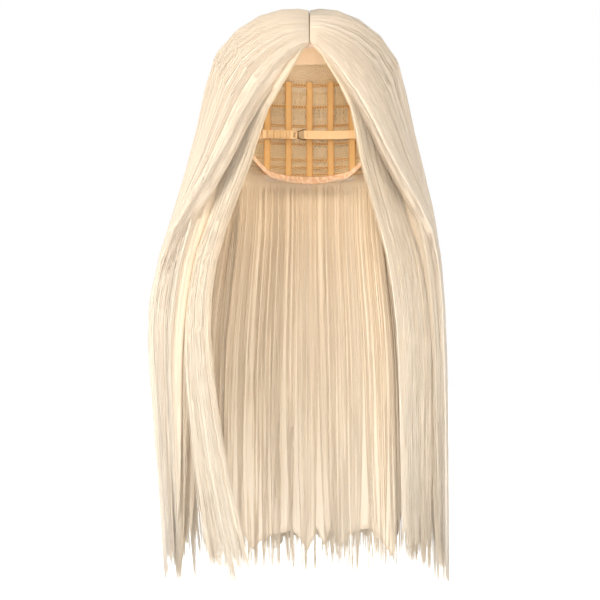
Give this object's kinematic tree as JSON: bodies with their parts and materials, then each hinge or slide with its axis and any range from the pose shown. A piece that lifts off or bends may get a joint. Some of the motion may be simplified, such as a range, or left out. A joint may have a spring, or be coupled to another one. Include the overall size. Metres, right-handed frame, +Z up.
{
  "type": "wig",
  "caption": "Long straight centre-parted wig on a wefted net cap, with rim tapes, ear tabs and a hooked elastic nape adjuster; no head or stand.",
  "frame": {"origin": "the crown seat: the point of the cap's inside that rests on the top of the head", "axes": "+Z up through the crown, -Y out of the face opening, +X towards the wearer's left; the hair hangs down -Z"},
  "size_m": [0.316, 0.2407, 0.615],
  "materials": {
    "outer_hair": "soft sheen of straight synthetic hair",
    "under_hair": "soft sheen of straight synthetic hair",
    "cap_net": "stretch net",
    "front_lace": "fine lace",
    "rim_tape": "matt woven elastic",
    "nape_tape": "matt woven elastic",
    "parting_lining": "soft felt-like lining",
    "parting_base": "skin-toned mono mesh",
    "ribbon": "woven ribbon",
    "weft_header": "stitched header",
    "strap_patch": "woven patch",
    "ear_tab": "soft cloth",
    "ear_stay": "matt coated stay",
    "elastic_strap": "satin elastic",
    "loop_tape": "woven tape",
    "hook_wire": "dark bronze coating"
  },
  "bodies": {
    "wig": {"cap_net": "cap_net", "lace_front": "front_lace", "front_tape": "rim_tape", "nape_tape": "nape_tape", "side_tape_left": "rim_tape", "side_tape_right": "rim_tape", "parting_lining": "parting_lining", "parting_base": "parting_base", "net_ribbon_1": "ribbon", "net_ribbon_2": "ribbon", "net_ribbon_3": "ribbon", "net_ribbon_4": "ribbon", "net_ribbon_5": "ribbon", "back_weft_1": "weft_header", "back_weft_2": "weft_header", "back_weft_3": "weft_header", "back_weft_4": "weft_header", "back_weft_5": "weft_header", "back_weft_6": "weft_header", "back_weft_7": "weft_header", "side_weft_left_1": "weft_header", "side_weft_left_2": "weft_header", "side_weft_left_3": "weft_header", "side_weft_right_1": "weft_header", "side_weft_right_2": "weft_header", "side_weft_right_3": "weft_header", "strap_patch_left": "strap_patch", "strap_patch_right": "strap_patch", "front_hair_left": "outer_hair", "front_hair_right": "outer_hair", "crown_hair_left": "outer_hair", "crown_hair_right": "outer_hair", "crown_hair_back": "outer_hair", "side_hair_left": "under_hair", "side_hair_right": "under_hair", "upper_back_hair": "under_hair", "middle_back_hair": "under_hair", "lower_back_hair": "under_hair", "nape_hair": "under_hair"},
    "ear_tab_left_body": {"ear_tab_left": "ear_tab", "ear_stay_left": "ear_stay"},
    "ear_tab_right_body": {"ear_tab_right": "ear_tab", "ear_stay_right": "ear_stay"},
    "hook_strap_body": {"hook_strap": "elastic_strap"},
    "hook_body": {"adjuster_hook": "hook_wire"},
    "eye_strap_body": {"eye_strap": "elastic_strap", "loop_tape": "loop_tape"}
  },
  "joints": [
    {"name": "ear_tab_left_fold", "type": "hinge", "parent": "wig", "child": "ear_tab_left_body", "pos_m": [0.07272, -0.0269, -0.10629], "axis": [0.2116, 0.9774, 0], "range_deg": [-5, 20]},
    {"name": "ear_tab_right_fold", "type": "hinge", "parent": "wig", "child": "ear_tab_right_body", "pos_m": [-0.07272, -0.0269, -0.10629], "axis": [0.2116, -0.9774, 0], "range_deg": [-5, 20]},
    {"name": "hook_strap_swing", "type": "hinge", "parent": "wig", "child": "hook_strap_body", "pos_m": [0.05118, 0.06572, -0.117], "axis": [0, 0, 1], "range_deg": [0, 55]},
    {"name": "hook_swivel", "type": "hinge", "parent": "hook_strap_body", "child": "hook_body", "pos_m": [-0.00444, 0.07517, -0.117], "axis": [0, 0, 1], "range_deg": [-30, 30]},
    {"name": "eye_strap_swing", "type": "hinge", "parent": "wig", "child": "eye_strap_body", "pos_m": [-0.05118, 0.06572, -0.117], "axis": [0, 0, -1], "range_deg": [0, 55]}
  ]
}
